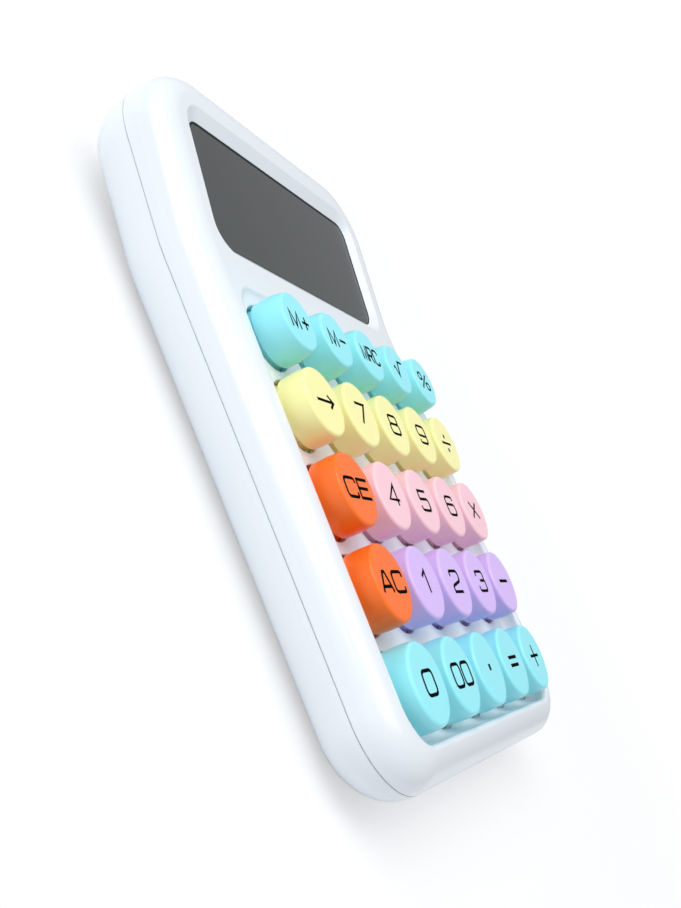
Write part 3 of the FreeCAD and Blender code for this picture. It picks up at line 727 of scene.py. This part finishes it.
window_materials = [smoked_acrylic(), cut_edge_and_gap_shadow()]
print("window materials:", [material.name for material in window_materials])

# %% [markdown]
# ## Where the painted gap shadow runs
#
# The painted shadow of the gap is not a piece of its own: the faces of the plate near its outline get the
# black, and so do its sides, its chamfer and its back, which don't look up. The painted shadow lies a little
# off centre, so it is wider at the right and the rear, where the gap is in view, and the face has rings of
# points where it can end.

# %% Make the window
WINDOW_BACK = -2.9
WINDOW_FACE = -1.5
CHAMFER = [(0.0, -1.7), (0.06, -1.6), (0.2, WINDOW_FACE)]
# Painted shadow of the gap round the plate: its width, its shift towards the front left, and the rings where it
# can end.
GAP_SHADOW_INSET = 0.6
GAP_SHADOW_SHIFT = 0.35
GAP_SHADOW_RINGS = (0.36, GAP_SHADOW_INSET, 0.96, 1.3)
WINDOW_SMOOTH_ANGLE = 20
FACE_UP = 0.9


def inside_by(points):
    """How far points lie inside the outline of the painted gap shadow, in mm. With p the offset from the middle
    of the straight part of a corner, it is the corner radius minus the length of p, or to the nearer side. That
    outline is the window's own, moved by the shift towards the front left, so the painted shadow is wider at
    the right and the rear."""
    slope = math.radians(DISPLAY_SLOPE)
    along = (points[:, 1] - DISPLAY_Y) * math.cos(slope) + (points[:, 2] - DISPLAY_Z) * math.sin(slope)
    across, along = points[:, 0] + GAP_SHADOW_SHIFT, along + GAP_SHADOW_SHIFT
    half = WINDOW_LENGTH / 2
    p = np.stack([np.abs(across) - WINDOW_HALF_WIDTH, np.abs(along - half) - half], axis=1) + WINDOW_CORNER
    return WINDOW_CORNER - np.linalg.norm(np.maximum(p, 0), axis=1) - np.minimum(p.max(axis=1), 0)


def face_vectors(mesh, name):
    """One vector of every face, such as its center or its normal, as an array (faces, 3)."""
    values = np.empty(len(mesh.polygons) * 3)
    mesh.polygons.foreach_get(name, values)
    return values.reshape(-1, 3)


window_profile = [(0.0, WINDOW_BACK)] + CHAMFER + [(inset, WINDOW_FACE) for inset in GAP_SHADOW_RINGS]
window_grid = plate_grid(window_outline, window_normals, window_profile)
count, depth = window_grid.shape[:2]
window_faces = grid_faces(count, depth, True, False).tolist()
window_faces.append([index * depth + depth - 1 for index in range(count)])
window_faces.append([index * depth for index in range(count)][::-1])
window_points = tilted(window_grid, DISPLAY_SLOPE, (0.0, DISPLAY_Y, DISPLAY_Z))
window = new_piece("smoked_window", window_points, window_faces, window_materials[0], WINDOW_SMOOTH_ANGLE)
window.data.materials.append(window_materials[1])
# Painted shadow of the gap round the plate: a black ring on its face, wider at the right and the rear. The
# sides, chamfer and back, which don't look up, are the dark cut edge.
printed = inside_by(face_vectors(window.data, "center") / MM) < GAP_SHADOW_INSET
printed |= face_vectors(window.data, "normal")[:, 2] < FACE_UP
window.data.polygons.foreach_set("material_index", printed.astype(np.int32))
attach(window, "housing")
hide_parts("display_window")
print("window faces:", len(window.data.polygons), "black:", int(printed.sum()))

# %% [markdown]
# ## The pieces that stay
#
# The shells, the cover, the screws, the feet and, but for the mat, all that lies inside keep their CAD
# shape and only need a finish. Each finish starts from the real thing: solder mask on glass epoxy,
# translucent silicone, drawn and plated steel, a printed film round the cell, and carbon-filled rubber.

# %% Finishes of the small pieces
def simple_finish(name, colour, shade, size, rough, bump, **optics):
    """A finish of two near colours mixed by a noise of a given size in mm, which also moves the roughness
    between two values and raises a bump of a given depth in mm. Further inputs are set as they are given."""
    material, tree, here = new_material(name)
    pattern = add(tree, "ShaderNodeTexNoise", {"Scale": 1 / (size * MM), "Detail": 4.0}, here)
    tones = {"data_type": "RGBA", 6: linear(colour), 7: linear(shade)}
    base = add(tree, "ShaderNodeMix", tones, {"Factor": (pattern, "Fac")})
    drift = {"To Min": rough[0], "To Max": rough[1]}
    gloss = add(tree, "ShaderNodeMapRange", drift, {"Value": (pattern, "Fac")})
    waves = {"Distance": bump * MM, "Strength": 1.0}
    relief = add(tree, "ShaderNodeBump", waves, {"Height": (pattern, "Fac")})
    sources = {"Base Color": (base, 2), "Roughness": (gloss, "Result"), "Normal": (relief, "Normal")}
    shader = add(tree, "ShaderNodeBsdfPrincipled", optics, sources)
    add(tree, "ShaderNodeOutputMaterial", {}, {"Surface": (shader, "BSDF")})
    return material


finishes = {
    # Rubber full of carbon black: dark grey and matt.
    "foot_rubber": simple_finish(
        "carbon-filled rubber, moulded", "#3A3B3D", "#2F3032",
        size=0.6, rough=(0.7, 0.9), bump=0.02, IOR=1.52,
    ),
    # A thin coat of zinc: a bright grey metal with a soft, uneven gloss.
    "screw_steel": simple_finish(
        "zinc-plated steel, cold headed", "#B9BCC0", "#A7ABB0",
        size=0.5, rough=(0.25, 0.45), bump=0.005, Metallic=1.0,
    ),
    # Nickel on pressed sheet: a warmer and smoother metal.
    "contact_nickel": simple_finish(
        "nickel-plated steel, pressed", "#C9C4B6", "#BDB7A8",
        size=0.8, rough=(0.2, 0.35), bump=0.003, Metallic=1.0,
    ),
    # Film shrunk round the cell: an even colour under a smooth gloss.
    "cell_wrap": simple_finish(
        "printed film round a cell", "#3C6E8F", "#376785",
        size=3.0, rough=(0.2, 0.35), bump=0.01, IOR=1.5,
    ),
    # Solder mask is a lacquer: a glossy green over glass cloth.
    "board_green": simple_finish(
        "green solder mask on glass epoxy", "#1F6B45", "#19603D",
        size=1.0, rough=(0.25, 0.4), bump=0.01, IOR=1.5,
    ),
    # Silicone rubber: milky grey and silky.
    "silicone_grey": simple_finish(
        "translucent silicone, moulded", "#B9BEC1", "#B0B5B8",
        size=2.0, rough=(0.45, 0.6), bump=0.01, IOR=1.41,
    ),
    # Epoxy set from a drop: black, glossy and a little wavy.
    "resin_black": simple_finish(
        "black epoxy resin, dropped", "#121315", "#18191B",
        size=1.2, rough=(0.2, 0.35), bump=0.02, IOR=1.55,
    ),
    # Laminated film: cream and satin.
    "flat_cable": simple_finish(
        "polyester film cable, laminated", "#C8C2B0", "#BFB9A7",
        size=1.5, rough=(0.25, 0.4), bump=0.005, IOR=1.57,
    ),
    # Glass over a display that is off: grey green, nearly a mirror.
    "lcd_glass": simple_finish(
        "liquid crystal glass, off", "#6F7A70", "#697469",
        size=6.0, rough=(0.08, 0.15), bump=0.0, IOR=1.52,
    ),
    "casing_white": shell_white,
    "window_tint": window_materials[0],
}
finishes.update(cap_abs)
print("slots:", len(finishes))

# %% Give the CAD pieces their finishes
node_slot = {part["node"]: part["material_slot"] for part in frame["record"]["subparts"]}
for name, node in frame["nodes"].items():
    slot = node_slot[name]
    if not node.material_slots:
        node.data.materials.append(finishes[slot])
    for material_slot in node.material_slots:
        material_slot.material = finishes[slot]
print("finished nodes:", len(frame["nodes"]))

# %% [markdown]
# ## The silicone mat
#
# Under each key stands a dome of silicone. The solid of the mat is rigid, and here the mat is a sheet with
# twenty-five holes and a dome in each hole. Two more holes let the screw posts of the casing through. The
# sheet's outline and its holes are polygons in the plane of the deck. A constrained triangulation says which
# polygons cover each triangle, and the sheet keeps those that only its outline covers, also where a hole
# reaches past the edge.

# %% Make the sheet
from mathutils.geometry import delaunay_2d_cdt

MAT_TOP = -5.5
MAT_BOTTOM = -6.1
MAT_HALF_WIDTH = 40.4
MAT_FRONT = -87.92
MAT_REAR = -5.0
MAT_CORNER = 7.5
MAT_CORNER_STEPS = 12
DOME_RADIUS = 5.2
DOME_GAP = 0.03
POST_HOLES = [(-27.0, -74.72, 3.05), (27.0, -74.72, 3.05)]
HOLE_STEPS = 48
INSIDE_ONLY = 1
MERGE_DISTANCE = 1e-6


def sheet_with_holes(outline, holes, high, low):
    """Points and faces of a flat sheet between two heights: the triangles that only the outline covers, twice,
    and a wall along each edge that one triangle alone has. A hole is (x, y, radius), and becomes the points
    (x + radius cos a, y + radius sin a)."""
    angles = np.linspace(0, 2 * np.pi, HOLE_STEPS, endpoint=False)
    circle = np.stack([np.cos(angles), np.sin(angles)], axis=1)
    loops = [outline] + [np.array([x, y]) + r * circle for x, y, r in holes]
    starts = np.cumsum([0] + [len(loop) for loop in loops])
    polygons = [list(range(first, last)) for first, last in zip(starts[:-1], starts[1:])]
    corners = [Vector(point) for point in np.concatenate(loops).tolist()]
    flat, _, faces, _, _, covered = delaunay_2d_cdt(corners, [], polygons, INSIDE_ONLY, MERGE_DISTANCE)
    kept = np.array([face for face, by in zip(faces, covered) if list(by) == [0]])
    used, kept = np.unique(kept, return_inverse=True)
    kept = kept.reshape(-1, 3)
    flat = np.array([point[:] for point in flat])[used]
    count = len(flat)
    sides = {side for face in kept.tolist() for side in zip(face, face[1:] + face[:1])}
    walls = [[a, b, b + count, a + count] for a, b in sorted(sides) if (b, a) not in sides]
    below = kept[:, ::-1] + count
    points = np.concatenate([np.insert(flat, 2, height, axis=1) for height in (high, low)])
    return points, kept.tolist() + below.tolist() + walls


along_deck = (ROW_Y - DECK_REAR_Y) / math.cos(math.radians(DECK_SLOPE))
dome_holes = [(x, y, DOME_RADIUS + DOME_GAP) for y in along_deck for x in COLUMN_X]
mat_outline = rounded_rectangle(MAT_HALF_WIDTH, MAT_FRONT, MAT_REAR, MAT_CORNER, MAT_CORNER_STEPS)[0]
sheet_points, sheet_faces = sheet_with_holes(mat_outline, dome_holes + POST_HOLES, MAT_TOP, MAT_BOTTOM)
sheet_points = on_deck(sheet_points, 0.0, DECK_REAR_Y)
mat_sheet = new_piece("silicone_sheet", sheet_points, sheet_faces, finishes["silicone_grey"])
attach(mat_sheet, "housing")
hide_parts("dome_mat")
print("sheet faces:", len(mat_sheet.data.polygons))

# %% [markdown]
# ## The domes
#
# Each dome is a turned, hollow cone with a flat top, 3.3 mm high. It rides with the housing, and its foot on
# the board stays where it is.

# %% Make the domes
DOME_STEPS = 48
DOME_TOP = -2.8
DOME_TOP_RADIUS = 2.9
HOLLOW_TOP = -4.0
HOLLOW_TOP_RADIUS = 2.3
HOLLOW_RADIUS = 4.6
dome_outline = np.array([
    (0.0, DOME_TOP), (DOME_TOP_RADIUS, DOME_TOP), (DOME_RADIUS, MAT_TOP), (DOME_RADIUS, MAT_BOTTOM),
    (HOLLOW_RADIUS, MAT_BOTTOM), (HOLLOW_TOP_RADIUS, HOLLOW_TOP), (0.0, HOLLOW_TOP),
])
dome_grid = revolved(dome_outline, DOME_STEPS)
dome_faces = grid_faces(*dome_grid.shape[:2], True, False)
for row, column, key in KEYS:
    place = COLUMN_X[column], ROW_Y[row]
    dome = new_piece("silicone_dome_" + key, on_deck(dome_grid, *place), dome_faces, finishes["silicone_grey"])
    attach(dome, "housing")
    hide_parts("dome_mat")
    foot = on_deck(np.array([[0.0, 0.0, MAT_BOTTOM]]), *place)[0] * MM
    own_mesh(dome)
low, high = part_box("dome_mat")
print("box of the sheet in mm:", sheet_points.min(0).round(2), sheet_points.max(0).round(2))
print("box of the solid in mm:", (np.array(low) / MM).round(2), (np.array(high) / MM).round(2))

# %% [markdown]
# ## The floor
#
# The calculator stands on a pale table top. The camera sees the air round it as plain white. It sees the
# floor half white beside the calculator, where the soft shadow lies, and more and more so further out, so
# that the table has no horizon.

# %% Lay the floor
GRAIN_SIZE = 6
FADE_START = 0.11
FADE_END = 0.26
FLOOR_HALF = 3


def table_paint():
    """Matt white paint. The camera sees it mixed with plain white, whose share grows from a half to the
    whole between two distances from the origin, in metres. Other rays see the paint alone."""
    material, tree, here = new_material("matt white paint, rolled")
    grain = add(tree, "ShaderNodeTexNoise", {"Scale": 1 / (GRAIN_SIZE * MM)}, here)
    gloss = add(tree, "ShaderNodeMapRange", {"To Min": 0.7, "To Max": 0.9}, {"Value": (grain, "Fac")})
    optics = {"Base Color": linear("#F7F8FA"), "Specular IOR Level": 0.2}
    paint = add(tree, "ShaderNodeBsdfPrincipled", optics, {"Roughness": (gloss, "Result")})
    white = add(tree, "ShaderNodeEmission", {"Color": (1, 1, 1, 1), "Strength": 1.0})
    rays = add(tree, "ShaderNodeLightPath")
    away = add(tree, "ShaderNodeVectorMath", {"operation": "LENGTH"}, {0: here["Vector"]})
    growth = {"From Min": FADE_START, "From Max": FADE_END, "To Min": 0.5, "To Max": 1.0}
    fade = add(tree, "ShaderNodeMapRange", growth, {"Value": (away, "Value")})
    share = add(tree, "ShaderNodeMath", {"operation": "MULTIPLY"}, {0: (rays, "Is Camera Ray"), 1: (fade, 0)})
    both = add(tree, "ShaderNodeMixShader", {}, {0: (share, 0), 1: (paint, "BSDF"), 2: (white, 0)})
    add(tree, "ShaderNodeOutputMaterial", {}, {"Surface": (both, 0)})
    return material


floor_corners = [(x * FLOOR_HALF, y * FLOOR_HALF, 0) for x, y in ((-1, -1), (1, -1), (1, 1), (-1, 1))]
floor_mesh = bpy.data.meshes.new("floor")
floor_mesh.from_pydata(floor_corners, [], [(0, 1, 2, 3)])
floor_mesh.materials.append(table_paint())
floor = bpy.data.objects.new("floor", floor_mesh)
bpy.context.scene.collection.objects.link(floor)
print("floor:", 2 * FLOOR_HALF, "m square")

# %% [markdown]
# ## Light and air
#
# One wide soft box hangs above the calculator. A stronger one hangs behind it and to its left, so the tops
# of the keys are bright and their near sides darker. The air is pale and a little blue and fills the
# shadows, while the camera sees it as plain white.

# %% Lights
AIR_STRENGTH = 0.5
SOFT_BOX_SIZE = 0.9
AIM = Vector((0, 0, 0))

world = bpy.data.worlds.new("air")
bpy.context.scene.world = world
world.use_nodes = True
sky = world.node_tree
sky.nodes.clear()
rays = add(sky, "ShaderNodeLightPath")
seen_rays = {0: (rays, "Is Camera Ray"), 1: (rays, "Is Transmission Ray")}
seen = add(sky, "ShaderNodeMath", {"operation": "MAXIMUM"}, seen_rays)
strength = add(sky, "ShaderNodeMapRange", {"To Min": AIR_STRENGTH, "To Max": 1.0}, {"Value": (seen, 0)})
tones = {"data_type": "RGBA", 6: linear("#F8FBFF"), 7: linear("#FFFFFF")}
tint = add(sky, "ShaderNodeMix", tones, {"Factor": (seen, 0)})
air = add(sky, "ShaderNodeBackground", {}, {"Color": (tint, 2), "Strength": (strength, "Result")})
add(sky, "ShaderNodeOutputWorld", {}, {"Surface": (air, 0)})


def soft_box(name, place, power):
    """Wide area lamp at a place in metres that looks at the aim."""
    data = bpy.data.lights.new(name, "AREA")
    data.shape = "RECTANGLE"
    data.size = data.size_y = SOFT_BOX_SIZE
    data.energy = power
    lamp = bpy.data.objects.new(name, data)
    bpy.context.scene.collection.objects.link(lamp)
    lamp.location = place
    lamp.rotation_euler = (AIM - Vector(place)).to_track_quat("-Z", "Y").to_euler()


soft_box("overhead soft box", place=(0.0, 0.0, 1.3), power=5.3)
soft_box("rear left soft box", place=(-0.70, 0.59, 0.92), power=9.7)

# %% [markdown]
# ## Finish
#
# The view transform is set to Standard. The dressed calculator has to stay inside the
# box of its solids.

# %% Finish
bpy.context.scene.view_settings.view_transform = "Standard"
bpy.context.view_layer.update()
